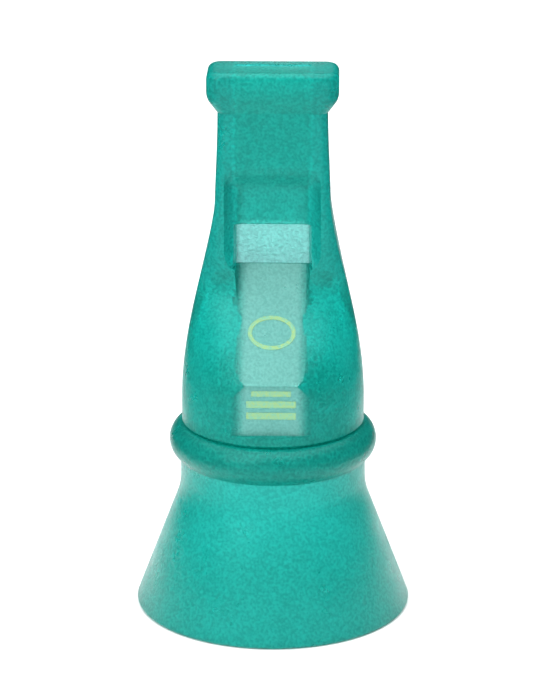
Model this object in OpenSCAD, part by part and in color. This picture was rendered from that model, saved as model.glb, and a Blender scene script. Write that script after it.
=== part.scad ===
// Whistle-type duck call. A flat mouthpiece blows air down a windway and across an open
// window in the barrel, a loose ball in the barrel trills the note, and a flared bell
// shapes it. The bell plugs into the barrel on a tenon with two O-rings.
// The call stands on the bell's mouth at z = 0. The window and the label flat face -Y.

/* [Bell] */
// Diameter of the bell's open mouth
bell_d = 40; // [34:0.5:50]
// Height of the cone, from the mouth up to the waist
flare_h = 17.9; // [14:0.1:22]
// Height of the straight waist below the collar
waist_h = 4.6; // [3.8:0.1:6]
// How far the waist stands out past the barrel, on the radius
waist_proud = 0.25; // [0:0.05:1]
// Radius that blends the cone into the waist
waist_blend_r = 8; // [3:0.5:10]
// Wall of the cone and waist, measured level
bell_wall = 1.6; // [1.2:0.1:2.2]
// Edge radius of the bell's lip
lip_r = 0.6; // [0.3:0.1:0.8]
// Height of the round collar
collar_h = 5.2; // [4:0.1:6.4]
// How far the collar stands out past the barrel, on the radius
collar_proud = 1.83; // [1.2:0.01:2.5]

/* [Tenon] */
// Length of the tenon that enters the barrel
tenon_len = 7; // [6:0.1:9]
// Wall of the tenon
tenon_wall = 2.4; // [2:0.1:3]
// Radial gap between the tenon and the barrel's socket
tenon_fit = 0.08; // [0.02:0.01:0.1]
// Cord diameter of an O-ring as fitted
o_ring_cord = 0.96; // [0.8:0.02:1.2]
// Height of the lower O-ring above the seat
o_ring_first = 2; // [1.5:0.1:2.5]
// Distance between the two O-rings
o_ring_pitch = 2.6; // [2:0.1:3]

/* [Ball] */
// Diameter of the ball
ball_d = 8; // [6.6:0.1:9.6]
// Diameter of the middle hole in the ball stop, smaller than the ball
stop_hole_d = 6; // [4.5:0.1:6.4]
// Thickness of the ball stop
stop_t = 1.5; // [1:0.1:2]
// Width of the ledge that the ball stop is pressed against
stop_ledge = 0.7; // [0.5:0.1:1]
// Number of air holes round the ball stop
air_holes = 8; // [4:1:10]
// Diameter of each air hole
air_hole_d = 2.2; // [1.5:0.1:2.6]

/* [Barrel] */
// Diameter of the barrel's round part
barrel_d = 26.4; // [22:0.1:32]
// Wall of the barrel
barrel_wall = 2.1; // [1.75:0.05:2.55]
// Height of the sounding edge above the barrel's seat
edge_h = 23.8; // [21:0.1:29]
// Height of the ridge at the foot of the ramp above the seat
ridge_h = 9.2; // [8:0.1:11]
// Wall behind the ramp
ramp_wall = 1.5; // [1.2:0.1:1.8]
// Slope of the side walls of the window and ramp, from square to them
side_draft = 8; // [0:1:20]
// Depth of the label flat below the round surface
label_depth = 1.25; // [1:0.05:1.6]
// Height of the label flat's lower edge above the seat
label_foot = 1.7; // [1.2:0.1:3]

/* [Neck] */
// Width of the neck under the mouthpiece
neck_w = 15.5; // [14:0.1:19]
// Thickness of the neck, front to back
neck_t = 7.4; // [6.6:0.1:9]
// Height of the neck above the window
neck_h = 16.4; // [14:0.1:20]
// Wall behind the windway block
neck_wall = 1.1; // [0.9:0.1:1.4]
// Width of the window
window_w = 10.2; // [8.6:0.1:12]
// Height of the window
window_h = 6.2; // [5:0.1:7.4]
// Width of the rail left on each side of the scoop
scoop_rail = 0.9; // [0.7:0.1:2]
// Height over which the scoop fades into the neck at each end
scoop_fade = 4.2; // [3:0.1:5]

/* [Windway] */
// Height of the windway's air gap
windway_gap = 1.2; // [0.9:0.1:1.5]
// Thickness of the lip between the windway and the scoop
windway_lip = 0.8; // [0.6:0.1:1]
// Slope of the windway from upright
windway_tilt = 4.2; // [2:0.1:5]
// Clearance round the windway block
block_fit = 0.05; // [0.02:0.01:0.1]

/* [Mouthpiece] */
// Width of the mouthpiece rim
rim_w = 18.6; // [17:0.1:23]
// Thickness of the rim, front to back
rim_t = 9.5; // [8.5:0.1:12]
// Height of the rim
rim_h = 5.9; // [5:0.1:7.2]
// Height of the sloping underside of the rim
rim_slope_h = 2.1; // [1:0.1:2.6]
// Edge radius at the top of the rim
rim_edge_r = 1.1; // [0.5:0.1:1.4]

/* [Hidden] */
$fn = 72;
teal = [0.16, 0.72, 0.66];
pale_teal = [0.35, 0.78, 0.73];

barrel_r = barrel_d / 2;
waist_r = barrel_r + waist_proud;
collar_r = barrel_r + collar_proud;
collar_z = flare_h + waist_h;
seat_z = collar_z + collar_h;
socket_r = barrel_r - barrel_wall;
tenon_r = socket_r - tenon_fit;
throat_r = tenon_r - tenon_wall;
tenon_top = seat_z + tenon_len;

// Slope of the cone from upright
cone_angle = atan((bell_d / 2 - waist_r) / flare_h);

// Collar: a round bead whose section is one arc between the waist and the seat
bead_rise = collar_r - waist_r;
bead_arc_r = (pow(collar_h / 2, 2) + pow(bead_rise, 2)) / (2 * bead_rise);

// O-ring groove, with a hair of room round the ring
groove_gap = 0.03;
groove_w = o_ring_cord + 0.4;
o_ring_r = socket_r - groove_gap - o_ring_cord / 2;
groove_floor_r = o_ring_r - o_ring_cord / 2 - groove_gap;
tenon_lead = 0.5;          // chamfer that guides the tenon in

// Ball stop, pressed up against a ledge at the foot of the collar
stop_top = collar_z + stop_t;
stop_r = throat_r + stop_ledge;
ball_gap = 0.03;
ball_z = stop_top + sqrt(pow(ball_d / 2, 2) - pow(stop_hole_d / 2, 2)) + ball_gap;
air_ring_r = (stop_hole_d / 2 + throat_r) / 2;

// Heights up the barrel
edge_z = seat_z + edge_h;
ridge_z = seat_z + ridge_h;
window_top = edge_z + window_h;
neck_top = window_top + neck_h;

// Barrel outline: rounded neck sections that swell into circles
corner_pts = 11;
neck_corner_r = 1.3;
neck_flare = 0.5;          // extra half width that the neck gains on its way down
width_curve = 1.42;        // sharpness of the shoulder seen from the front
width_top = window_top + 3.3;
width_foot = seat_z + 3.3;
depth_top = edge_z - 1.5;
depth_foot = ridge_z - 1.9;
round_foot = edge_z - 7;
seat_chamfer = 0.5;

function clamp01(t) = min(1, max(0, t));
function ease(t) = let (c = clamp01(t)) c * c * (3 - 2 * c);
function blend(a, b, t) = a + (b - a) * t;
function shoulder(z) = pow(sin(90 * clamp01((width_top - z) / (width_top - width_foot))), width_curve);
function half_w(z) = neck_w / 2 + neck_flare * ease((neck_top - z) / neck_h)
    + (barrel_r - neck_w / 2 - neck_flare) * shoulder(z);
function half_t(z) = blend(neck_t / 2, barrel_r, ease((depth_top - z) / (depth_top - depth_foot)));
function roundness(z) = ease((window_top - z) / (window_top - round_foot));

// Section of the barrel at height z, moved inwards by wall: height, half sizes, corner radii
function section(z, wall) = let (
        a = half_w(z) - wall,
        b = half_t(z) - wall,
        k = roundness(z))
    [z, a, b, blend(neck_corner_r, a, k), blend(neck_corner_r, b, k)];

// Ramp: the plane from the sounding edge down to the ridge
edge_y = -0.5;
edge_t = 0.3;              // thickness left at the sounding edge
window_depth = 1;          // how far the window is cut past the sounding edge into the slot
ridge_inset = 0.55;        // how far the ridge lies below the round surface
ridge_y = ridge_inset - half_t(ridge_z);
ramp_angle = atan((edge_y - ridge_y) / (edge_z - ridge_z));
ramp_len = norm([edge_y - ridge_y, edge_z - ridge_z]);
chamber_top = edge_z - 1;

// Windway, its block and the slot behind the window
slot_w = window_w + 0.5;
block_back_y = neck_t / 2 - neck_wall;
roof_y = -1.1;             // windway's front wall where the air leaves it
function roof(z) = roof_y + (z - window_top) * tan(windway_tilt);
lip_y = roof_y - windway_lip;

// Scoop: a shallow hollow between two rails, from above the window's top to past its sides
scoop_half = neck_w / 2 - scoop_rail;
scoop_foot = window_top - 2.7;
scoop_head = window_top + 4.6;
scoop_steps = 8;
skim = 0.05;               // how far past the neck's face the scoop's ends reach
function scoop_face(z) = blend(lip_y, -neck_t / 2 - skim,
    max(ease((z - scoop_head) / scoop_fade), ease((scoop_foot - z) / scoop_fade)));

// Label flat
label_y = label_depth - barrel_r;
label_top_half = 3.7;
label_half = 6.5;

rim_top = neck_top + rim_h;
rim_corner_r = 2;
rim_arc_steps = 3;

// Outline with half sizes a and b and elliptical corners of radii rx and ry
function outline(a, b, rx, ry) = [
    for (q = [0:3])
        let (sx = q == 0 || q == 3 ? 1 : -1, sy = q < 2 ? 1 : -1)
        for (i = [0:corner_pts - 1])
            let (t = 90 * (q + (i + 0.5) / corner_pts))
            [sx * (a - rx) + rx * cos(t), sy * (b - ry) + ry * sin(t)]
];

// Solid through a stack of sections, each [height, half width, half thickness, rx, ry]
module loft(sections) {
    n = 4 * corner_pts;
    last = len(sections) - 1;
    points = [for (s = sections) for (p = outline(s[1], s[2], s[3], s[4])) [p.x, p.y, s[0]]];
    sides = [
        for (k = [0:last - 1]) for (i = [0:n - 1])
            let (j = (i + 1) % n, low = k * n, high = low + n)
            each [[low + i, high + i, low + j], [low + j, high + i, high + j]]
    ];
    floor_face = [for (i = [0:n - 1]) i];
    top_face = [for (i = [n - 1:-1:0]) last * n + i];
    polyhedron(points = points, faces = concat([floor_face], sides, [top_face]));
}

// Side outline given as [y, z] points, made w wide about the middle plane
module across(w, outline_yz) {
    rotate([90, 0, 90]) translate([0, 0, -w / 2]) linear_extrude(w) polygon(outline_yz);
}

// Profile of the bell's outside from the lip up to the seat, then of the tenon
function bell_outside() = concat(
    [for (t = [-90:22.5:0]) [bell_d / 2 - lip_r + lip_r * cos(t), lip_r + lip_r * sin(t)]],
    [for (k = [0:6]) let (t = 180 + cone_angle * (1 - k / 6))
        [waist_r + waist_blend_r * (1 + cos(t)),
            flare_h + waist_blend_r * (tan(cone_angle / 2) + sin(t))]],
    [[waist_r, seat_z], [tenon_r, seat_z], [tenon_r, tenon_top - tenon_lead], [tenon_r - tenon_lead, tenon_top]]);

// Profile of the bell's inside, from the tenon's end down to the lip
function bell_inside() = [
    [throat_r, tenon_top], [throat_r, stop_top], [stop_r, stop_top], [stop_r, collar_z],
    [waist_r - bell_wall, collar_z], [waist_r - bell_wall, flare_h], [bell_d / 2 - bell_wall, 0]];

module bell() {
    color(teal) difference() {
        union() {
            rotate_extrude() polygon(concat(bell_outside(), bell_inside()));
            intersection() {
                rotate_extrude() translate([collar_r - bead_arc_r, collar_z + collar_h / 2]) circle(r = bead_arc_r);
                difference() {
                    translate([0, 0, collar_z]) cylinder(r = collar_r + 1, h = collar_h);
                    translate([0, 0, collar_z - 1]) cylinder(r = tenon_r, h = collar_h + 2);
                }
            }
        }
        for (k = [0:1]) translate([0, 0, seat_z + o_ring_first + k * o_ring_pitch - groove_w / 2])
            difference() {
                cylinder(r = tenon_r + 1, h = groove_w);
                translate([0, 0, -1]) cylinder(r = groove_floor_r, h = groove_w + 2);
            }
    }
}

module ball_stop() {
    color(pale_teal) translate([0, 0, stop_top - stop_t]) difference() {
        cylinder(r = stop_r, h = stop_t);
        translate([0, 0, -1]) cylinder(d = stop_hole_d, h = stop_t + 2);
        for (k = [0:air_holes - 1]) rotate(360 / air_holes * k) translate([air_ring_r, 0, -1])
            cylinder(d = air_hole_d, h = stop_t + 2, $fn = 24);
    }
}

module ball() {
    color("wheat") translate([0, 0, ball_z]) sphere(d = ball_d);
}

module o_ring(place) {
    color("whitesmoke") translate([0, 0, seat_z + o_ring_first + place * o_ring_pitch])
        rotate_extrude() translate([o_ring_r, 0]) circle(d = o_ring_cord, $fn = 24);
}

module lower_o_ring() { o_ring(0); }
module upper_o_ring() { o_ring(1); }

// Room inside the barrel above the socket, kept ramp_wall behind the ramp
module chamber() {
    foot = ridge_z - 1;
    rise = chamber_top - foot;
    steps = 10;
    difference() {
        loft([for (k = [0:steps]) section(foot + rise * k / steps, barrel_wall)]);
        translate([0, edge_y, edge_z]) rotate([-ramp_angle, 0, 0])
            translate([-barrel_d, -barrel_d, -2 * ramp_len])
                cube([2 * barrel_d, barrel_d + ramp_wall, 4 * ramp_len]);
    }
}

// Trench of length len along Z, open towards +Y, whose side walls lean outwards
module trench(len) {
    rise = barrel_r;
    spread = rise * tan(side_draft);
    linear_extrude(len) polygon([
        [-window_w / 2, 0], [window_w / 2, 0], [window_w / 2 + spread, rise], [-window_w / 2 - spread, rise]]);
}

// Window over the chamber, and the ramp that leads away from it
module window_and_ramp() {
    translate([0, edge_y + window_depth, window_top]) rotate([180, 0, 0]) trench(window_h);
    translate([0, edge_y, edge_z]) rotate([180 - ramp_angle, 0, 0]) trench(2 * ramp_len);
}

// Hollow in the front of the neck that thins it to the windway's lip
module scoop() {
    low = scoop_foot - scoop_fade;
    high = scoop_head + scoop_fade;
    depth = neck_t / 2 + lip_y;
    far = blend(window_w / 2, scoop_half, (neck_t + lip_y) / depth);
    intersection() {
        across(2 * far, concat(
            [for (k = [0:scoop_steps]) let (z = blend(low, scoop_foot, k / scoop_steps)) [scoop_face(z), z]],
            [for (k = [0:scoop_steps]) let (z = blend(scoop_head, high, k / scoop_steps)) [scoop_face(z), z]],
            [[-neck_t, high], [-neck_t, low]]));
        // its sides slope from the rails down to the width of the window
        translate([0, 0, low - 1]) linear_extrude(high - low + 2) polygon([
            [-window_w / 2, lip_y], [window_w / 2, lip_y], [far, -neck_t], [-far, -neck_t]]);
    }
}

module label_flat() {
    foot = seat_z + label_foot;
    slant = label_half - label_top_half;
    rotate([90, 0, 0]) translate([0, 0, -label_y]) linear_extrude(barrel_r) polygon([
        [-label_half, foot], [label_half, foot], [label_half, ridge_z - slant],
        [label_top_half, ridge_z], [-label_top_half, ridge_z], [-label_half, ridge_z - slant]]);
}

module barrel() {
    steps = 20;
    curve = [for (k = [0:steps]) section(blend(width_foot, width_top, k / steps), 0)];
    straight = [for (k = [1:3]) section(blend(width_top, neck_top, k / 3), 0)];
    foot = [
        [seat_z, barrel_r - seat_chamfer, barrel_r - seat_chamfer, barrel_r - seat_chamfer, barrel_r - seat_chamfer],
        [seat_z + seat_chamfer, barrel_r, barrel_r, barrel_r, barrel_r]];
    color(teal) difference() {
        loft(concat(foot, curve, straight));
        translate([0, 0, seat_z - 1]) cylinder(r = socket_r, h = ridge_z - seat_z + 0.5);
        chamber();
        // slot that holds the windway block and opens into the chamber
        across(slot_w, [
            [edge_y + edge_t, edge_z - 5.5], [block_back_y, edge_z - 5.5],
            [block_back_y, neck_top + 1], [roof(neck_top + 1), neck_top + 1],
            [roof_y, window_top], [edge_y + edge_t, window_top - 1]]);
        window_and_ramp();
        scoop();
        label_flat();
    }
}

// Rim that the lips close on, with the block that forms the windway's floor
module mouthpiece() {
    slope = [
        [neck_top, neck_w / 2, neck_t / 2, neck_corner_r, neck_corner_r],
        [neck_top + rim_slope_h, rim_w / 2, rim_t / 2, rim_corner_r, rim_corner_r]];
    edge = [for (k = [0:rim_arc_steps])
        let (t = 90 * k / rim_arc_steps, inset = rim_edge_r * (1 - cos(t)))
        [rim_top - rim_edge_r + rim_edge_r * sin(t), rim_w / 2 - inset, rim_t / 2 - inset,
            rim_corner_r - inset, rim_corner_r - inset]];
    color(teal) union() {
        difference() {
            loft(concat(slope, edge));
            across(slot_w, [
                [roof(neck_top - 1), neck_top - 1], [roof(neck_top - 1) + windway_gap, neck_top - 1],
                [roof(rim_top + 1) + windway_gap, rim_top + 1], [roof(rim_top + 1), rim_top + 1]]);
        }
        across(slot_w - 2 * block_fit, [
            [roof_y + windway_gap, window_top], [block_back_y - block_fit, window_top],
            [block_back_y - block_fit, neck_top + 0.5], [roof(neck_top) + windway_gap, neck_top + 0.5],
            [roof(neck_top) + windway_gap, neck_top]]);
    }
}

bell();
ball_stop();
ball();
lower_o_ring();
upper_o_ring();
barrel();
mouthpiece();
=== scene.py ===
# Whistle-type duck call: a flared bell plugs into a barrel on two O-rings, a loose ball sits on
# a stop in the tenon, and a flat mouthpiece closes the top of the barrel's neck.
# Sizes are in millimetres, and z is the height above the bell's mouth.
import bmesh
import bpy
import math
from mathutils import Matrix, Vector, noise


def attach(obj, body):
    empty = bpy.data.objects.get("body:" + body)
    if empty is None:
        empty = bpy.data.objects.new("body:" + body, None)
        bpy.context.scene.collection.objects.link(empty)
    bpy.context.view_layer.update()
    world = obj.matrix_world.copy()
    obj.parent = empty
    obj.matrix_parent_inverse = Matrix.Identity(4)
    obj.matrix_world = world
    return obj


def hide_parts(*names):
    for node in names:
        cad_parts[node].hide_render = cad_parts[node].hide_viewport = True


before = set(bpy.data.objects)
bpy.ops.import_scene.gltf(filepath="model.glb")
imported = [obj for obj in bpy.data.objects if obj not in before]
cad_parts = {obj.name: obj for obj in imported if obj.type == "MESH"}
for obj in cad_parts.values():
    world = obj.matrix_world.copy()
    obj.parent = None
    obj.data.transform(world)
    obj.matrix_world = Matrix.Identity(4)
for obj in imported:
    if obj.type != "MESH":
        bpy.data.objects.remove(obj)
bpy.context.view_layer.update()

# ---------------------------------------------------------------------------------------------
# Bell. An injection-moulded cone of frosted polycarbonate with a straight waist, a round collar
# to grip, and the grooved tenon that plugs into the barrel. It is one turned shape.
BELL_R = 20
FLARE_H = 17.9
WAIST_R = 13.45
WAIST_BLEND_R = 8
BELL_WALL = 1.6
LIP_R = 0.6
COLLAR_Z = 22.5
SEAT_Z = 27.7
COLLAR_R = 15.03
TENON_R = 11.02
TENON_TOP = 34.7
TENON_LEAD = 0.5
THROAT_R = 8.62
STOP_R = 9.32
STOP_TOP = 24
RING_HEIGHTS = (29.7, 32.3)
GROOVE_W = 1.36
GROOVE_FLOOR_R = 10.08
LIP_INNER_R = 0.25
COLLAR_FILLET_R = 0.25
BORE_FILLET_R = 0.4
THROAT_EDGE_R = 0.3
TURN_STEPS = 160


def chain(bm, stops):
    """Joins (radius, height) stops in the XZ plane with edges, and returns the vertices."""
    verts = [bm.verts.new((r, 0, z)) for r, z in stops]
    for low, high in zip(verts, verts[1:]):
        bm.edges.new((low, high))
    return verts


def turn(bm):
    """Spins the profile once round Z and turns its faces outwards."""
    bmesh.ops.spin(bm, geom=bm.verts[:] + bm.edges[:], cent=(0, 0, 0), axis=(0, 0, 1),
                   angle=math.tau, steps=TURN_STEPS, use_merge=True)
    bmesh.ops.remove_doubles(bm, verts=bm.verts, dist=1e-4)
    bmesh.ops.recalc_face_normals(bm, faces=bm.faces)


def soften_rings(bm, r, z, size, segments):
    """Bevels the ring of edges at radius r and height z."""
    ring = [e for e in bm.edges
            if all(abs(math.hypot(v.co.x, v.co.y) - r) < 0.02 and abs(v.co.z - z) < 0.01
                   for v in e.verts)]
    bmesh.ops.bevel(bm, geom=ring, offset=size, offset_type='OFFSET', segments=segments,
                    affect='EDGES', profile=0.5, material=-1)


def finish_piece(bm, name, body, skin, replaced, smooth=35):
    """Turns millimetres to metres, makes the object, and ties it to the frame."""
    bmesh.ops.scale(bm, vec=(0.001, 0.001, 0.001), verts=bm.verts)
    mesh = bpy.data.meshes.new(name)
    bm.to_mesh(mesh)
    bm.free()
    mesh.shade_smooth()
    mesh.set_sharp_from_angle(angle=math.radians(smooth))
    piece = bpy.data.objects.new(name, mesh)
    bpy.context.scene.collection.objects.link(piece)
    mesh.materials.append(skin)
    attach(piece, body)
    if replaced:
        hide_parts(*replaced)
    return piece


def linear(hex_colour):
    """An sRGB hex colour as the linear RGBA that a shader socket takes."""
    channels = [int(hex_colour[i:i + 2], 16) / 255 for i in (1, 3, 5)]
    return tuple(c / 12.92 if c <= 0.04045 else ((c + 0.055) / 1.055) ** 2.4
                 for c in channels) + (1,)


def add(tree, kind, settings=None, inputs=None):
    """Adds a shader node with its settings, and links or sets its inputs."""
    made = tree.nodes.new(kind)
    for key, value in (settings or {}).items():
        setattr(made, key, value)
    for key, value in (inputs or {}).items():
        if isinstance(value, bpy.types.NodeSocket):
            tree.links.new(value, made.inputs[key])
        else:
            made.inputs[key].default_value = value
    return made


def new_material(name):
    """An empty node material and its output node."""
    material = bpy.data.materials.new(name)
    material.use_nodes = True
    material.node_tree.nodes.clear()
    return material, add(material.node_tree, 'ShaderNodeOutputMaterial')


# Frosted polycarbonate: teal dye through the plastic, so a thin wall is pale and a thick one
# deep, a little milkiness that keeps the thick parts bright, and a bead-blasted mould that
# leaves a fine speckled grain on every face. The grain is drawn 0.4 mm wide, coarser than the
# real grit, so that it shows.
GRAIN_MM = 0.4
GRAIN_DEPTH = 0.00015
MOTTLE_MM = 5
FROST_LOW, FROST_HIGH = 0.26, 0.4               # roughness
MILKINESS = 0.25
MILK_DARK, MILK_LIGHT = '#08bcae', '#14f0dc'
GLOSS_TINT = (0.3, 0.84, 0.8, 1)
DYE_COLOUR, DYE_DENSITY = (0.0, 0.9, 0.88, 1), 900


def frosted_plastic(name, painted_light_band=None, solid_and_painted_shade=None):
    """Frosted teal plastic. The band argument is painted light: a paler, milkier strip about
    the middle plane, given as its half width in metres and the width over which it fades out.
    The solid argument is where the plastic isn't hollow, so cloudier, and is also painted darker
    there as painted shade: from how far out to the sides and over what width it sets in, and
    from what height and over what height. Both go on with a milkiness, a dark colour and a
    light one."""
    material, output = new_material(name)
    tree = material.node_tree
    where = add(tree, 'ShaderNodeTexCoord').outputs['Object']
    grain = add(tree, 'ShaderNodeTexNoise', inputs={
        'Vector': where, 'Scale': 1000 / GRAIN_MM, 'Detail': 1, 'Roughness': 0.5})
    mottle = add(tree, 'ShaderNodeTexNoise', inputs={
        'Vector': where, 'Scale': 1000 / MOTTLE_MM, 'Detail': 3})
    frost = add(tree, 'ShaderNodeMapRange', inputs={
        'Value': mottle.outputs['Fac'], 'From Min': 0.3, 'From Max': 0.7,
        'To Min': FROST_LOW, 'To Max': FROST_HIGH})
    speckle = add(tree, 'ShaderNodeMapRange', inputs={
        'Value': grain.outputs['Fac'], 'From Min': 0.34, 'From Max': 0.66})
    tint = add(tree, 'ShaderNodeMix', {'data_type': 'RGBA'}, {
        'Factor': speckle.outputs['Result'], 'A': linear('#dae2e1'), 'B': linear('#ffffff')})
    milk = add(tree, 'ShaderNodeMix', {'data_type': 'RGBA'}, {
        'Factor': speckle.outputs['Result'], 'A': linear(MILK_DARK), 'B': linear(MILK_LIGHT)})
    milk_colour, milkiness = milk.outputs['Result'], MILKINESS
    # Painted light and shade: the band paints a paler strip and the solid part a darker one, by
    # place on the piece
    if painted_light_band or solid_and_painted_shade:
        spot = add(tree, 'ShaderNodeSeparateXYZ', inputs={'Vector': where})
        aside = add(tree, 'ShaderNodeMath', {'operation': 'ABSOLUTE'}, {0: spot.outputs['X']})
        if painted_light_band:
            half, fade, local_milkiness, dark, light = painted_light_band
            inside = add(tree, 'ShaderNodeMapRange', {'interpolation_type': 'SMOOTHSTEP'}, {
                'Value': aside.outputs['Value'], 'From Min': half - fade, 'From Max': half,
                'To Min': 1, 'To Max': 0})
            painted_tone_mask = inside.outputs['Result']
        else:
            out, out_fade, up, up_fade, local_milkiness, dark, light = solid_and_painted_shade
            beside = add(tree, 'ShaderNodeMapRange', {'interpolation_type': 'SMOOTHSTEP'}, {
                'Value': aside.outputs['Value'], 'From Min': out, 'From Max': out + out_fade})
            above = add(tree, 'ShaderNodeMapRange', {'interpolation_type': 'SMOOTHSTEP'}, {
                'Value': spot.outputs['Z'], 'From Min': up, 'From Max': up + up_fade})
            both = add(tree, 'ShaderNodeMath', {'operation': 'MULTIPLY'}, {
                0: beside.outputs['Result'], 1: above.outputs['Result']})
            painted_tone_mask = both.outputs['Value']
        painted_tone = add(tree, 'ShaderNodeMix', {'data_type': 'RGBA'}, {
            'Factor': speckle.outputs['Result'], 'A': linear(dark), 'B': linear(light)})
        milk_colour = add(tree, 'ShaderNodeMix', {'data_type': 'RGBA'}, {
            'Factor': painted_tone_mask, 'A': milk_colour, 'B': painted_tone.outputs['Result']}).outputs['Result']
        milkiness = add(tree, 'ShaderNodeMapRange', inputs={
            'Value': painted_tone_mask, 'To Min': MILKINESS, 'To Max': local_milkiness}).outputs['Result']
    blast = add(tree, 'ShaderNodeBump', inputs={
        'Height': grain.outputs['Fac'], 'Strength': 0.6, 'Distance': GRAIN_DEPTH})
    clear = add(tree, 'ShaderNodeBsdfPrincipled', inputs={
        'Base Color': tint.outputs['Result'], 'Roughness': frost.outputs['Result'],
        'IOR': 1.49, 'Transmission Weight': 1, 'Specular Tint': GLOSS_TINT,
        'Normal': blast.outputs['Normal']})
    cloud = add(tree, 'ShaderNodeBsdfPrincipled', inputs={
        'Base Color': milk_colour, 'Roughness': frost.outputs['Result'],
        'IOR': 1.49, 'Specular IOR Level': 0.2, 'Normal': blast.outputs['Normal']})
    plastic = add(tree, 'ShaderNodeMixShader', inputs={
        0: milkiness, 1: clear.outputs['BSDF'], 2: cloud.outputs['BSDF']})
    dye = add(tree, 'ShaderNodeVolumeAbsorption', inputs={
        'Color': DYE_COLOUR, 'Density': DYE_DENSITY})
    tree.links.new(plastic.outputs['Shader'], output.inputs['Surface'])
    tree.links.new(dye.outputs['Volume'], output.inputs['Volume'])
    return material


teal_polycarbonate = frosted_plastic('polycarbonate_teal_frosted')

# Outline: the rounded lip, the cone and waist, the collar's bead, the tenon with its two grooves,
# and back down the bore
bell = bmesh.new()
lip_start = bell.verts.new((BELL_R - LIP_R, 0, 0))
lip = bmesh.ops.spin(bell, geom=[lip_start], cent=(BELL_R - LIP_R, 0, LIP_R), axis=(0, -1, 0),
                     angle=math.pi / 2, steps=5)["geom_last"]
lip_end = [v for v in lip if isinstance(v, bmesh.types.BMVert)][0]
outside = chain(bell, [(WAIST_R, FLARE_H), (WAIST_R, COLLAR_Z)])
bell.edges.new((lip_end, outside[0]))
bead_rise = COLLAR_R - WAIST_R
bead_half_h = (SEAT_Z - COLLAR_Z) / 2
bead_r = (bead_half_h ** 2 + bead_rise ** 2) / (2 * bead_rise)
bead_angle = 2 * math.asin(bead_half_h / bead_r)
bead_middle = (COLLAR_R - bead_r, 0, COLLAR_Z + bead_half_h)
bead = bmesh.ops.spin(bell, geom=[outside[-1]], cent=bead_middle, axis=(0, -1, 0),
                      angle=bead_angle, steps=20)["geom_last"]
grooves = []
for z in RING_HEIGHTS:
    grooves += [(TENON_R, z - GROOVE_W / 2), (GROOVE_FLOOR_R, z - GROOVE_W / 2),
                (GROOVE_FLOOR_R, z + GROOVE_W / 2), (TENON_R, z + GROOVE_W / 2)]
inside = chain(bell, [(TENON_R, SEAT_Z)] + grooves + [
    (TENON_R, TENON_TOP - TENON_LEAD), (TENON_R - TENON_LEAD, TENON_TOP),
    (THROAT_R, TENON_TOP), (THROAT_R, STOP_TOP), (STOP_R, STOP_TOP), (STOP_R, COLLAR_Z),
    (WAIST_R - BELL_WALL, COLLAR_Z), (WAIST_R - BELL_WALL, FLARE_H), (BELL_R - BELL_WALL, 0)])
bead_end = [v for v in bead if isinstance(v, bmesh.types.BMVert)][0]
bell.edges.new((bead_end, inside[0]))
bell.edges.new((inside[-1], lip_start))
turn(bell)
cone_angle = math.atan((BELL_R - WAIST_R) / FLARE_H)
waist_blend = WAIST_BLEND_R * math.tan(cone_angle / 2)
soften_rings(bell, WAIST_R, FLARE_H, waist_blend, 8)
soften_rings(bell, WAIST_R - BELL_WALL, FLARE_H, waist_blend, 8)
soften_rings(bell, BELL_R - BELL_WALL, 0, LIP_INNER_R, 3)
soften_rings(bell, WAIST_R, COLLAR_Z, COLLAR_FILLET_R, 3)
soften_rings(bell, WAIST_R - BELL_WALL, COLLAR_Z, BORE_FILLET_R, 3)
soften_rings(bell, THROAT_R, TENON_TOP, THROAT_EDGE_R, 3)
finish_piece(bell, 'bell_moulding', 'bell', teal_polycarbonate, ['bell'])

# ---------------------------------------------------------------------------------------------
# O-rings. Two rings of clear silicone rubber, each moulded in one piece and rolled into a groove
# of the tenon, where the barrel's socket slides over them. The rubber is cloudy and slightly matt.
O_RING_CORD = 0.96
O_RING_R = 10.59
CLOUD_MM = 2

silicone_rubber, output = new_material('silicone_rubber_clear')
tree = silicone_rubber.node_tree
where = add(tree, 'ShaderNodeTexCoord').outputs['Object']
haze = add(tree, 'ShaderNodeTexNoise', inputs={
    'Vector': where, 'Scale': 1000 / CLOUD_MM, 'Detail': 4})
shade = add(tree, 'ShaderNodeMix', {'data_type': 'RGBA'}, {
    'Factor': haze.outputs['Fac'], 'A': linear('#c6d2cf'), 'B': linear('#eaf0ee')})
dulled = add(tree, 'ShaderNodeMapRange', inputs={
    'Value': haze.outputs['Fac'], 'To Min': 0.32, 'To Max': 0.5})
rubber = add(tree, 'ShaderNodeBsdfPrincipled', inputs={
    'Base Color': shade.outputs['Result'], 'Roughness': dulled.outputs['Result'], 'IOR': 1.41})
tree.links.new(rubber.outputs['BSDF'], output.inputs['Surface'])

for part, z in zip(('lower_o_ring', 'upper_o_ring'), RING_HEIGHTS):
    o_ring = bmesh.new()
    bmesh.ops.create_circle(o_ring, segments=24, radius=O_RING_CORD / 2)
    bmesh.ops.rotate(o_ring, verts=o_ring.verts, cent=(0, 0, 0),
                     matrix=Matrix.Rotation(math.pi / 2, 3, 'X'))
    bmesh.ops.translate(o_ring, verts=o_ring.verts, vec=(O_RING_R, 0, z))
    turn(o_ring)
    finish_piece(o_ring, part + '_moulding', 'bell', silicone_rubber, [part])

# ---------------------------------------------------------------------------------------------
# Ball stop. A turned disc of the same plastic, pressed up against the ledge inside the tenon.
# The ball rests in its middle hole, and the ring of small holes lets the air past.
STOP_T = 1.5
STOP_HOLE_R = 3
AIR_HOLES = 8
AIR_HOLE_R = 1.1
AIR_RING_R = 5.81
PRESS_GAP = 0.02                # kept between pieces that touch, so that their faces don't mix


def rod(r, low, high, x=0, y=0):
    """An upright round rod, closed at both ends, for cutting with."""
    bm = bmesh.new()
    bmesh.ops.create_cone(bm, cap_ends=True, segments=96, radius1=r, radius2=r, depth=high - low)
    bmesh.ops.translate(bm, verts=bm.verts, vec=(x, y, (low + high) / 2))
    return bm


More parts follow.
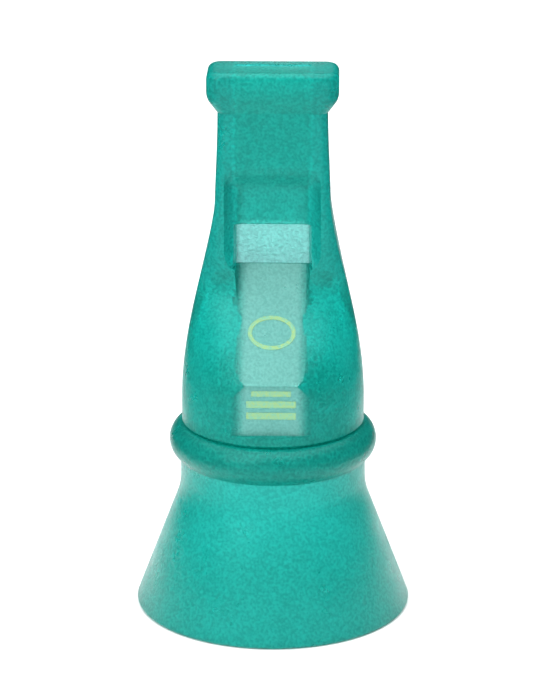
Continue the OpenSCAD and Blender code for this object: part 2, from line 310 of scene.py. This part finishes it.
def combine(shape, tools, operation='DIFFERENCE'):
    """Cuts the closed shapes in tools out of shape, or joins them to it. All are used up."""
    blanks = []
    for bm in [shape] + tools:
        bmesh.ops.recalc_face_normals(bm, faces=bm.faces)
        mesh = bpy.data.meshes.new('blank')
        bm.to_mesh(mesh)
        bm.free()
        blanks.append(bpy.data.objects.new('blank', mesh))
        bpy.context.scene.collection.objects.link(blanks[-1])
    for tool in blanks[1:]:
        cut = blanks[0].modifiers.new('cut', 'BOOLEAN')
        cut.operation = operation
        cut.solver = 'EXACT'
        cut.object = tool
    made = bmesh.new()
    made.from_object(blanks[0], bpy.context.evaluated_depsgraph_get())
    for blank in blanks:
        bpy.data.meshes.remove(blank.data)
    bmesh.ops.remove_doubles(made, verts=made.verts, dist=1e-3)
    gaps = [e for e in made.edges if e.is_boundary]         # a cut may drop a sliver face
    bmesh.ops.holes_fill(made, edges=gaps, sides=4)
    return made


stop_foot = STOP_TOP - STOP_T
holes = [rod(STOP_HOLE_R, stop_foot - 1, STOP_TOP + 1)]
for k in range(AIR_HOLES):
    turned = math.tau * k / AIR_HOLES
    holes.append(rod(AIR_HOLE_R, stop_foot - 1, STOP_TOP + 1,
                     AIR_RING_R * math.cos(turned), AIR_RING_R * math.sin(turned)))
stop = combine(rod(STOP_R - PRESS_GAP, stop_foot + PRESS_GAP, STOP_TOP - PRESS_GAP), holes)
finish_piece(stop, 'ball_stop_disc', 'bell', teal_polycarbonate, ['ball_stop'])

# ---------------------------------------------------------------------------------------------
# Ball. A loose ball turned from natural cork, which dances on the stop and makes the note trill.
# Cork is light brown, speckled with darker pores that leave small pits in its surface.
BALL_R = 4
BALL_Z = 26.68                  # where it rests in the stop's hole
PORE_MM = 1.8
PIT_MM, PIT_DEPTH = 0.9, 0.3

cork, output = new_material('cork_natural')
tree = cork.node_tree
where = add(tree, 'ShaderNodeTexCoord').outputs['Object']
grain = add(tree, 'ShaderNodeTexNoise', inputs={
    'Vector': where, 'Scale': 1000 / PORE_MM, 'Detail': 6, 'Roughness': 0.65})
cells = add(tree, 'ShaderNodeTexVoronoi', inputs={'Vector': where, 'Scale': 1000 / PORE_MM})
pores = add(tree, 'ShaderNodeMapRange', inputs={
    'Value': cells.outputs['Distance'], 'From Min': 0.12, 'From Max': 0.3})
brown = add(tree, 'ShaderNodeMix', {'data_type': 'RGBA'}, {
    'Factor': grain.outputs['Fac'], 'A': linear('#a9743f'), 'B': linear('#e0b782')})
speckled = add(tree, 'ShaderNodeMix', {'data_type': 'RGBA'}, {
    'Factor': pores.outputs['Result'], 'A': linear('#5f3b1f'), 'B': brown.outputs['Result']})
dry = add(tree, 'ShaderNodeMapRange', inputs={
    'Value': grain.outputs['Fac'], 'To Min': 0.7, 'To Max': 0.92})
pits = add(tree, 'ShaderNodeBump', inputs={
    'Height': pores.outputs['Result'], 'Strength': 0.5, 'Distance': 0.00015})
bark = add(tree, 'ShaderNodeBsdfPrincipled', inputs={
    'Base Color': speckled.outputs['Result'], 'Roughness': dry.outputs['Result'],
    'Specular IOR Level': 0.25, 'Normal': pits.outputs['Normal']})
tree.links.new(bark.outputs['BSDF'], output.inputs['Surface'])

ball = bmesh.new()
bmesh.ops.create_icosphere(ball, subdivisions=6, radius=BALL_R)
for v in ball.verts:
    v.co *= 1 - PIT_DEPTH / BALL_R * max(0, noise.noise(v.co / PIT_MM))
bmesh.ops.translate(ball, verts=ball.verts, vec=(0, 0, BALL_Z))
finish_piece(ball, 'ball_cork', 'ball', cork, ['ball'])

# ---------------------------------------------------------------------------------------------
# Barrel. Moulded in the same plastic: a round socket that swells up from the collar and narrows
# to a flat neck, with a window cut by the sounding edge, a ramp that leads the air away from
# it, a flat for a label, and a dished scoop above the window.
BARREL_R = 13.2
BARREL_WALL = 2.1
SOCKET_R = 11.1
SEAT_CHAMFER = 0.5
EDGE_Z = 51.5
RIDGE_Z = 36.9
WINDOW_TOP = 57.7
NECK_TOP = 74.1
NECK_W = 15.5
NECK_T = 7.4
NECK_FLARE = 0.5
CORNER_R = 1.3
WIDTH_TOP, WIDTH_FOOT, WIDTH_CURVE = 61, 31, 1.42
DEPTH_TOP, DEPTH_FOOT = 50, 35
ROUND_FOOT = 44.5
CORNER_SIDES = 24


def ease(t):
    """Goes from 0 to 1 with a level start and end, as t does."""
    t = min(1, max(0, t))
    return t * t * (3 - 2 * t)


def mix(a, b, t):
    return a + (b - a) * t


def round_rectangle(x, y, a, b, rx, ry):
    """Moves the point (x, y) of a unit circle to a rectangle with half sizes a, b and corners
    of radii rx and ry."""
    return math.copysign(a - rx, x) + rx * x, math.copysign(b - ry, y) + ry * y


def on_barrel(x, y, z, wall=0):
    """Moves the point (x, y) of a unit circle to the barrel's outline at height z, less wall."""
    rise = min(1, max(0, (WIDTH_TOP - z) / (WIDTH_TOP - WIDTH_FOOT)))
    flare = NECK_FLARE * ease((NECK_TOP - z) / (NECK_TOP - WINDOW_TOP))
    a = NECK_W / 2 + flare - wall + (
        (BARREL_R - NECK_W / 2 - NECK_FLARE) * math.sin(rise * math.pi / 2) ** WIDTH_CURVE)
    b = mix(NECK_T / 2, BARREL_R, ease((DEPTH_TOP - z) / (DEPTH_TOP - DEPTH_FOOT))) - wall
    k = ease((WINDOW_TOP - z) / (WINDOW_TOP - ROUND_FOOT))
    return round_rectangle(x, y, a, b, mix(CORNER_R, a, k), mix(CORNER_R, b, k))


def column(levels, place):
    """A closed stack of rings at these heights, each point moved from a unit circle by place."""
    bm = bmesh.new()
    sides = 4 * CORNER_SIDES
    bmesh.ops.create_circle(bm, cap_ends=True, segments=sides, radius=1)
    bmesh.ops.rotate(bm, verts=bm.verts, cent=(0, 0, 0),
                     matrix=Matrix.Rotation(math.pi / sides, 3, 'Z'))
    bmesh.ops.translate(bm, verts=bm.verts, vec=(0, 0, levels[0]))
    top = bm.faces[:]
    for low, high in zip(levels, levels[1:]):
        under = top if low > levels[0] else []      # a face left inside the stack
        grown = bmesh.ops.extrude_face_region(bm, geom=top)["geom"]
        bmesh.ops.delete(bm, geom=under, context='FACES_ONLY')
        top = [g for g in grown if isinstance(g, bmesh.types.BMFace)]
        bmesh.ops.translate(bm, verts=[g for g in grown if isinstance(g, bmesh.types.BMVert)],
                            vec=(0, 0, high - low))
    for v in bm.verts:
        v.co.x, v.co.y = place(v.co.x, v.co.y, v.co.z)
    bmesh.ops.recalc_face_normals(bm, faces=bm.faces)
    return bm


def evenly(low, high, steps):
    """Evenly spaced heights from low to high, both included."""
    return [mix(low, high, k / steps) for k in range(steps + 1)]


def prism(points, length, move, round_edges=0, edge_filter=None):
    """A closed bar: the outline in the XY plane, pulled up Z by length, then moved."""
    bm = bmesh.new()
    face = bm.faces.new([bm.verts.new((x, y, 0)) for x, y in points])
    grown = bmesh.ops.extrude_face_region(bm, geom=[face])["geom"]
    bmesh.ops.translate(bm, verts=[g for g in grown if isinstance(g, bmesh.types.BMVert)],
                        vec=(0, 0, length))
    bmesh.ops.recalc_face_normals(bm, faces=bm.faces)
    if round_edges:
        bmesh.ops.bevel(bm, geom=[e for e in bm.edges if edge_filter(e)], offset=round_edges,
                        offset_type='OFFSET', segments=6, affect='EDGES', profile=0.5, material=-1)
    bmesh.ops.transform(bm, matrix=move, verts=bm.verts)
    bmesh.ops.recalc_face_normals(bm, faces=bm.faces)
    return bm


def across(width, points, round_edges=0, edge_filter=None):
    """A bar made width wide about the middle plane from a side outline in the YZ plane."""
    sideways = Matrix(((0, 0, 1, -width / 2), (1, 0, 0, 0), (0, 1, 0, 0), (0, 0, 0, 1)))
    return prism(points, width, sideways, round_edges, edge_filter)


# Window and ramp: a trench whose bottom edges are rounded, laid along the window, then the ramp
EDGE_Y = -0.5
EDGE_T = 0.3
RIDGE_Y = -12.23
WINDOW_W = 10.2
SIDE_DRAFT = math.radians(8)
WINDOW_DEPTH = 1
TRENCH_ROUND = 0.7
ramp_angle = math.atan((EDGE_Y - RIDGE_Y) / (EDGE_Z - RIDGE_Z))
ramp_normal = Vector((0, -math.cos(ramp_angle), math.sin(ramp_angle)))


def trench(length, move, rounding):
    """A bar with the window's width at its foot and drafted sides, for cutting with."""
    half, rise = WINDOW_W / 2, BARREL_R
    spread = rise * math.tan(SIDE_DRAFT)
    return prism([(-half, 0), (half, 0), (half + spread, rise), (-half - spread, rise)], length,
                 move, rounding, lambda e: all(abs(v.co.y) < 1e-4 for v in e.verts)
                 and abs(e.verts[0].co.z - e.verts[1].co.z) > 1)


window = trench(WINDOW_TOP - EDGE_Z, Matrix.Translation((0, EDGE_Y + WINDOW_DEPTH, WINDOW_TOP))
                @ Matrix.Rotation(math.pi, 4, 'X'), 0)
ramp = trench(40, Matrix.Translation((0, EDGE_Y, EDGE_Z))
              @ Matrix.Rotation(math.pi - ramp_angle, 4, 'X'), TRENCH_ROUND)

# Slot in the neck that takes the mouthpiece's block, and opens into the room above the socket
SLOT_W = 10.7
SLOT_FOOT = 46
BLOCK_BACK_Y = 2.6
ROOF_Y = -1.1
WINDWAY_SLOPE = math.tan(math.radians(4.2))


def roof(z):
    """Where the windway's front wall is at height z."""
    return ROOF_Y + (z - WINDOW_TOP) * WINDWAY_SLOPE


slot = across(SLOT_W, [
    (EDGE_Y + EDGE_T, SLOT_FOOT), (BLOCK_BACK_Y, SLOT_FOOT), (BLOCK_BACK_Y, NECK_TOP + 1),
    (roof(NECK_TOP + 1), NECK_TOP + 1), (ROOF_Y, WINDOW_TOP), (EDGE_Y + EDGE_T, WINDOW_TOP - 1)])

# Room inside above the socket, kept one wall behind the ramp
RAMP_WALL = 1.5
chamber = column(evenly(RIDGE_Z - 1, EDGE_Z - 1, 24),
                 lambda x, y, z: on_barrel(x, y, z, BARREL_WALL))
behind_ramp = Vector((0, EDGE_Y, EDGE_Z)) - RAMP_WALL * ramp_normal
cut = bmesh.ops.bisect_plane(chamber, geom=chamber.verts[:] + chamber.edges[:] + chamber.faces[:],
                             dist=1e-5, plane_co=behind_ramp, plane_no=ramp_normal,
                             clear_outer=True)["geom_cut"]
bmesh.ops.edgeloop_fill(chamber, edges=[g for g in cut if isinstance(g, bmesh.types.BMEdge)])

# Scoop: a shallow hollow that fades into the neck's face at both ends. Its sides slope from the
# rails down to the width of the window.
SCOOP_HALF = 6.85
SCOOP_FOOT, SCOOP_HEAD = 55, 62.3
SCOOP_FADE = 4.2
SCOOP_ROUND = 1.2
LIP_Y = -1.9
SKIM = 0.05                     # how far past the neck's face its ends reach


def scoop_face(z):
    """Where the hollow's floor is at height z, as (y, z)."""
    fade = max(ease((z - SCOOP_HEAD) / SCOOP_FADE), ease((SCOOP_FOOT - z) / SCOOP_FADE))
    return mix(LIP_Y, -NECK_T / 2 - SKIM, fade), z


scoop = across(2 * SCOOP_HALF, [
    scoop_face(z) for z in evenly(SCOOP_FOOT - SCOOP_FADE, SCOOP_FOOT, 12)
    + evenly(SCOOP_HEAD, SCOOP_HEAD + SCOOP_FADE, 12)] + [
    (-NECK_T, SCOOP_HEAD + SCOOP_FADE), (-NECK_T, SCOOP_FOOT - SCOOP_FADE)],
    SCOOP_ROUND, lambda e: all(v.co.x > -NECK_T / 2 - 2 * SKIM for v in e.verts)
    and abs(e.verts[0].co.z - e.verts[1].co.z) < 1)
for v in scoop.verts:
    v.co.x *= mix(WINDOW_W / 2, SCOOP_HALF, (LIP_Y - v.co.y) / (NECK_T / 2 + LIP_Y)) / SCOOP_HALF

# Label flat: its sides slant in at 45 degrees towards the ridge
LABEL_Y = -11.95
LABEL_FOOT = 29.4
LABEL_HALF, LABEL_TOP_HALF = 6.5, 3.7
slant = LABEL_HALF - LABEL_TOP_HALF
facing_front = Matrix(((1, 0, 0, 0), (0, 0, -1, LABEL_Y), (0, 1, 0, 0), (0, 0, 0, 1)))
label_flat = prism([
    (-LABEL_HALF, LABEL_FOOT), (LABEL_HALF, LABEL_FOOT), (LABEL_HALF, RIDGE_Z - slant),
    (LABEL_TOP_HALF, RIDGE_Z), (-LABEL_TOP_HALF, RIDGE_Z), (-LABEL_HALF, RIDGE_Z - slant)],
    BARREL_R, facing_front)

# Outside of the barrel, with everything cut out of it
levels = ([SEAT_Z + PRESS_GAP, SEAT_Z + SEAT_CHAMFER] + evenly(WIDTH_FOOT, WIDTH_TOP, 60)
          + evenly(WIDTH_TOP + 1, NECK_TOP, 10))
barrel = column(levels, lambda x, y, z: on_barrel(
    x, y, z, max(0, SEAT_Z + SEAT_CHAMFER - z)))
socket = rod(SOCKET_R, SEAT_Z - 1, RIDGE_Z - 0.5)
barrel = combine(barrel, [socket, chamber, slot, window, ramp, scoop, label_flat])

# Faces of the ramp and the label flat take the second material
for face in barrel.faces:
    middle = face.calc_center_median()
    above_ramp = (middle - Vector((0, EDGE_Y, EDGE_Z))).dot(ramp_normal)
    on_ramp = (-0.01 < above_ramp < TRENCH_ROUND and abs(middle.x) < WINDOW_W / 2 + 0.4
               and RIDGE_Z < middle.z < EDGE_Z and middle.y < EDGE_Y)
    on_label = abs(middle.y - LABEL_Y) < 0.01 and face.normal.y < -0.99
    face.material_index = int(on_ramp or on_label)
# Beside the windway the neck and the rim are solid plastic, cloudier than a thin wall.
# Their sides are also painted darker there, as painted shade.
neck_polycarbonate_painted_shade = frosted_plastic(
    'polycarbonate_teal_solid_neck_painted_shade',
    solid_and_painted_shade=(0.0046, 0.0014, 0.044, 0.008, 0.65, '#048a80', '#0aa89c'))
barrel_piece = finish_piece(barrel, 'barrel_moulding', 'barrel',
                            neck_polycarbonate_painted_shade, ['barrel'])

# The ramp and the label flat are painted paler and milkier: painted light, for the top light they
# catch
painted_light_panel = frosted_plastic(
    'polycarbonate_painted_light_panel', painted_light_band=(0.0056, 0.0022, 0.5, '#80d6cc', '#94e8de'))
barrel_piece.data.materials.append(painted_light_panel)

# Printed mark: a plain oval ring on the ramp and three plain bars on the label flat, each a thin
# film of pale yellow-green pad-printing ink. It is matt, and the grit of the plastic shows
# through it.
INK_T = 0.04
INK_CLEAR = 0.02
MARK_Z = 43.2
RING_HALF_W, RING_HALF_H, RING_LINE = 3.4, 2.6, 0.6
BARS = ((35.7, 5.6, 0.8), (34.1, 7.0, 1.0), (32.4, 7.0, 1.0))    # height, length, line

pad_ink, output = new_material('pad_ink_yellow_green')
tree = pad_ink.node_tree
where = add(tree, 'ShaderNodeTexCoord').outputs['Object']
grit = add(tree, 'ShaderNodeTexNoise', inputs={
    'Vector': where, 'Scale': 1000 / GRAIN_MM, 'Detail': 2})
cover = add(tree, 'ShaderNodeMapRange', inputs={
    'Value': grit.outputs['Fac'], 'From Min': 0.35, 'From Max': 0.65})
ink = add(tree, 'ShaderNodeMix', {'data_type': 'RGBA'}, {
    'Factor': cover.outputs['Result'], 'A': linear('#7cbca0'), 'B': linear('#98bf80')})
film = add(tree, 'ShaderNodeBsdfPrincipled', inputs={
    'Base Color': ink.outputs['Result'], 'Roughness': 0.55, 'Specular IOR Level': 0.2})
tree.links.new(film.outputs['BSDF'], output.inputs['Surface'])

ring = bmesh.new()
bmesh.ops.create_circle(ring, segments=72, radius=1)
bmesh.ops.scale(ring, vec=(RING_HALF_W, RING_HALF_H, 1), verts=ring.verts)
outer = ring.edges[:]
inner = bmesh.ops.duplicate(ring, geom=ring.verts[:] + ring.edges[:])["geom"]
bmesh.ops.scale(ring, vec=(1 - RING_LINE / RING_HALF_W, 1 - RING_LINE / RING_HALF_H, 1),
                verts=[g for g in inner if isinstance(g, bmesh.types.BMVert)])
bmesh.ops.bridge_loops(ring, edges=outer + [g for g in inner if isinstance(g, bmesh.types.BMEdge)])
along_ramp = (Vector((0, EDGE_Y, EDGE_Z)) + (MARK_Z - EDGE_Z) / math.cos(ramp_angle)
              * Vector((0, math.sin(ramp_angle), math.cos(ramp_angle)))
              + INK_CLEAR * ramp_normal)
bmesh.ops.transform(ring, matrix=Matrix.Translation(along_ramp)
                    @ Matrix.Rotation(math.pi / 2 - ramp_angle, 4, 'X'), verts=ring.verts)
bmesh.ops.recalc_face_normals(ring, faces=ring.faces)
if ring.faces[:][0].normal.dot(ramp_normal) < 0:
    bmesh.ops.reverse_faces(ring, faces=ring.faces)
bmesh.ops.solidify(ring, geom=ring.faces[:], thickness=-INK_T)
bmesh.ops.recalc_face_normals(ring, faces=ring.faces)       # the film is now a closed solid
finish_piece(ring, 'mark_ring', 'barrel', pad_ink, [])

bars = bmesh.new()
for height, length, line in BARS:
    bar = bmesh.ops.create_cube(bars, size=1)["verts"]
    bmesh.ops.scale(bars, vec=(length, INK_T, line), verts=bar)
    bmesh.ops.translate(bars, vec=(0, LABEL_Y - INK_CLEAR - INK_T / 2, height), verts=bar)
finish_piece(bars, 'mark_bars', 'barrel', pad_ink, [])

# ---------------------------------------------------------------------------------------------
# Mouthpiece. A moulded rim that the lips close on, with a slot for the breath. The tongue under
# it slides into the neck and forms the windway's floor.
RIM_W = 18.6
RIM_T = 9.5
RIM_TOP = 80
RIM_SLOPE_H = 2.1
RIM_CORNER_R = 2
RIM_EDGE_R = 1.1
RIM_KNEE_R = 0.8
WINDWAY_GAP = 1.2
BLOCK_FIT = 0.05


def on_rim(x, y, z):
    """Moves the point (x, y) of a unit circle to the rim's outline at height z."""
    t = min(1, (z - NECK_TOP) / RIM_SLOPE_H)
    r = mix(CORNER_R, RIM_CORNER_R, t)
    return round_rectangle(x, y, mix(NECK_W, RIM_W, t) / 2, mix(NECK_T, RIM_T, t) / 2, r, r)


def soften_level(bm, z, size, segments):
    """Bevels the ring of edges at height z."""
    ring = [e for e in bm.edges if all(abs(v.co.z - z) < 1e-3 for v in e.verts)]
    bmesh.ops.bevel(bm, geom=ring, offset=size, offset_type='OFFSET', segments=segments,
                    affect='EDGES', profile=0.5, material=-1)


rim = column([NECK_TOP + PRESS_GAP, NECK_TOP + RIM_SLOPE_H, RIM_TOP], on_rim)
soften_level(rim, RIM_TOP, RIM_EDGE_R, 6)
soften_level(rim, NECK_TOP + RIM_SLOPE_H, RIM_KNEE_R, 5)
windway = across(SLOT_W, [
    (roof(NECK_TOP - 1), NECK_TOP - 1), (roof(NECK_TOP - 1) + WINDWAY_GAP, NECK_TOP - 1),
    (roof(RIM_TOP + 1) + WINDWAY_GAP, RIM_TOP + 1), (roof(RIM_TOP + 1), RIM_TOP + 1)])
rim = combine(rim, [windway])
tongue = across(SLOT_W - 2 * BLOCK_FIT, [
    (ROOF_Y + WINDWAY_GAP, WINDOW_TOP), (BLOCK_BACK_Y - BLOCK_FIT, WINDOW_TOP),
    (BLOCK_BACK_Y - BLOCK_FIT, NECK_TOP + 0.5),
    (roof(NECK_TOP + 0.5) + WINDWAY_GAP, NECK_TOP + 0.5)])
mouthpiece = combine(rim, [tongue], 'UNION')
finish_piece(mouthpiece, 'mouthpiece_moulding', 'barrel',
             neck_polycarbonate_painted_shade, ['mouthpiece'])

# ---------------------------------------------------------------------------------------------
# Table, lights and camera. The call stands on a plain white table in a white light tent.
TABLE_HALF = 4
CARD_HALF = 0.5
CARD_ASIDE, CARD_BACK, CARD_UP = 0.07, 0.42, 0.4
TENT_STRENGTH = 0.4


def matt(name, colour, roughness, gloss):
    """A plain matt finish for the table and the cards."""
    material, output = new_material(name)
    coat = add(material.node_tree, 'ShaderNodeBsdfPrincipled', inputs={
        'Base Color': linear(colour), 'Roughness': roughness, 'Specular IOR Level': gloss})
    material.node_tree.links.new(coat.outputs['BSDF'], output.inputs['Surface'])
    return material


def square(name, half, skin, place=(0, 0, 0), tilt=0):
    """A flat square that isn't part of the call, tilted about Y and set in place, in metres."""
    bm = bmesh.new()
    bmesh.ops.create_grid(bm, x_segments=1, y_segments=1, size=half)
    bmesh.ops.rotate(bm, verts=bm.verts, cent=(0, 0, 0), matrix=Matrix.Rotation(tilt, 3, 'Y'))
    bmesh.ops.translate(bm, verts=bm.verts, vec=place)
    mesh = bpy.data.meshes.new(name)
    bm.to_mesh(mesh)
    bm.free()
    mesh.materials.append(skin)
    made = bpy.data.objects.new(name, mesh)
    bpy.context.scene.collection.objects.link(made)
    return made


square('table', TABLE_HALF, matt('paper_white_matt', '#fafafa', 0.9, 0.2))

# Two dark cards beside the call. They are seen only in its gloss, and darken its edges.
felt = matt('felt_black', '#101010', 1, 0)
for side in (-1, 1):
    card = square('card', CARD_HALF, felt, (side * CARD_ASIDE, CARD_BACK, CARD_UP), math.pi / 2)
    card.visible_camera = card.visible_shadow = False
    card.visible_diffuse = card.visible_transmission = False

world = bpy.data.worlds.new('light_tent')
world.use_nodes = True
tent = world.node_tree.nodes['Background'].inputs
tent['Color'].default_value = linear('#ffffff')
tent['Strength'].default_value = TENT_STRENGTH
bpy.context.scene.world = world
bpy.context.scene.view_settings.view_transform = 'Standard'


def softbox(name, place, aim, size, watts):
    """A square soft light that shines from place towards aim, in metres."""
    data = bpy.data.lights.new(name, 'AREA')
    data.size = size
    data.energy = watts
    lamp = bpy.data.objects.new(name, data)
    lamp.location = place
    lamp.rotation_euler = (Vector(aim) - Vector(place)).to_track_quat('-Z', 'Y').to_euler()
    bpy.context.scene.collection.objects.link(lamp)


softbox('top_box', (0, 0, 1.1), (0, 0, 0), 1.6, 23)
softbox('left_box', (-0.35, -0.45, 0.4), (0, 0, 0.03), 0.35, 1.6)

LOOK_DOWN = math.radians(18.1)
TO_THE_RIGHT = math.radians(1.4)
DISTANCE = 0.44
aim = Vector((-0.00043, 0, 0.0383))
lens = bpy.data.cameras.new('camera')
lens.lens = 156.8
lens.sensor_width = 36
camera = bpy.data.objects.new('camera', lens)
camera.location = aim + DISTANCE * Vector((
    math.sin(TO_THE_RIGHT) * math.cos(LOOK_DOWN), -math.cos(TO_THE_RIGHT) * math.cos(LOOK_DOWN),
    math.sin(LOOK_DOWN)))
camera.rotation_euler = (math.pi / 2 - LOOK_DOWN, 0, TO_THE_RIGHT)
bpy.context.scene.collection.objects.link(camera)
bpy.context.scene.camera = camera
